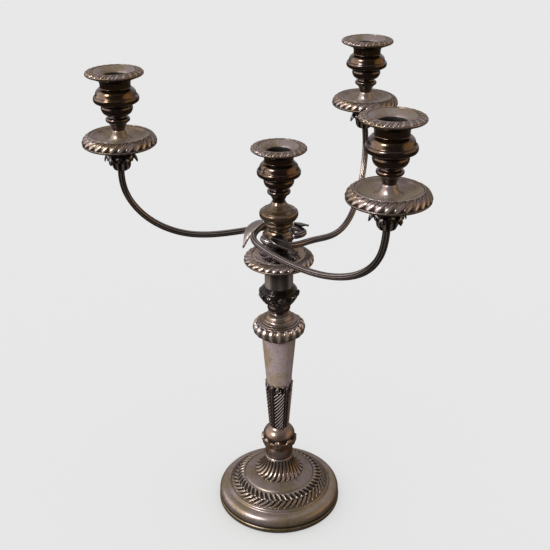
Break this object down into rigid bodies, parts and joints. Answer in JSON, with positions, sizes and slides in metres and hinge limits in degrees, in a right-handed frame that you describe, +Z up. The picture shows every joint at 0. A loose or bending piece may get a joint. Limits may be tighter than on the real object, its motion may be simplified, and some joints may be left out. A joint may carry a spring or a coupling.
{
  "type": "candelabrum",
  "caption": "Branched candelabrum: a loaded baluster candlestick carrying a lift-out, turning hub with curved reeded arms, drip pans, vase-shaped candle sockets and loose nozzles.",
  "frame": {"origin": "centre of the foot's underside, where the baize rests on the table", "axes": "+Z up the stem, -X towards the left arm, -Y towards the front; the front arm leans right of -Y and the rear arm right of +Y"},
  "size_m": [0.3126, 0.348, 0.4878],
  "materials": {
    "silver_plate": "tarnished silver plate on copper, satin",
    "dark_silver": "oxidised silver plate, dark in the recesses",
    "worn_plate": "worn plate with the warm base metal showing through",
    "iron": "plain iron rod",
    "pitch": "dull pitch and plaster loading",
    "wood": "plain turned softwood disc",
    "baize": "green felted baize"
  },
  "bodies": {
    "candlestick": {"baize_pad": "baize", "base_plate": "wood", "loading": "pitch", "foot_rim": "dark_silver", "foot_shell": "silver_plate", "laurel_band": "dark_silver", "fluted_cone": "silver_plate", "cone_collar": "worn_plate", "knop_cup": "worn_plate", "leaf_knop": "dark_silver", "stem_calyx": "dark_silver", "stem_column": "silver_plate", "shoulder": "silver_plate", "shoulder_dome": "silver_plate", "socket_knop": "dark_silver", "leaf_bowl": "dark_silver", "stick_socket": "silver_plate", "tie_rod": "iron", "rod_nut": "iron", "rod_washer": "iron"},
    "stick_nozzle": {"stick_nozzle": "silver_plate", "stick_nozzle_border": "silver_plate"},
    "plug": {"branch_plug": "dark_silver"},
    "branches": {"hub_calyx": "dark_silver", "hub_core": "dark_silver", "hub_collar": "worn_plate", "hub_rod": "iron", "centre_vase": "worn_plate", "centre_socket": "worn_plate", "left_arm": "dark_silver", "left_arm_leaf": "silver_plate", "left_calyx": "dark_silver", "left_pan": "silver_plate", "left_pan_border": "silver_plate", "left_socket": "worn_plate", "front_arm": "dark_silver", "front_arm_leaf": "silver_plate", "front_calyx": "dark_silver", "front_pan": "silver_plate", "front_pan_border": "silver_plate", "front_socket": "worn_plate", "rear_arm": "dark_silver", "rear_arm_leaf": "silver_plate", "rear_calyx": "dark_silver", "rear_pan": "silver_plate", "rear_pan_border": "silver_plate", "rear_socket": "worn_plate", "arm_studs": "iron"},
    "left_light": {"left_nozzle": "silver_plate", "left_nozzle_border": "silver_plate"},
    "front_light": {"front_nozzle": "silver_plate", "front_nozzle_border": "silver_plate"},
    "rear_light": {"rear_nozzle": "silver_plate", "rear_nozzle_border": "silver_plate"},
    "centre_light": {"centre_nozzle": "silver_plate", "centre_nozzle_border": "silver_plate"}
  },
  "joints": [
    {"name": "stick_nozzle_lift", "type": "slide", "parent": "candlestick", "child": "stick_nozzle", "axis": [0, 0, 1], "range_m": [0, 0.045]},
    {"name": "branch_lift", "type": "slide", "parent": "stick_nozzle", "child": "plug", "axis": [0, 0, 1], "range_m": [0, 0.045]},
    {"name": "branch_turn", "type": "hinge", "parent": "plug", "child": "branches", "pos_m": [0, 0, 0.3], "axis": [0, 0, 1], "continuous": true},
    {"name": "left_nozzle_lift", "type": "slide", "parent": "branches", "child": "left_light", "axis": [0, 0, 1], "range_m": [0, 0.03]},
    {"name": "front_nozzle_lift", "type": "slide", "parent": "branches", "child": "front_light", "axis": [0, 0, 1], "range_m": [0, 0.03]},
    {"name": "rear_nozzle_lift", "type": "slide", "parent": "branches", "child": "rear_light", "axis": [0, 0, 1], "range_m": [0, 0.03]},
    {"name": "centre_nozzle_lift", "type": "slide", "parent": "branches", "child": "centre_light", "axis": [0, 0, 1], "range_m": [0, 0.03]}
  ]
}
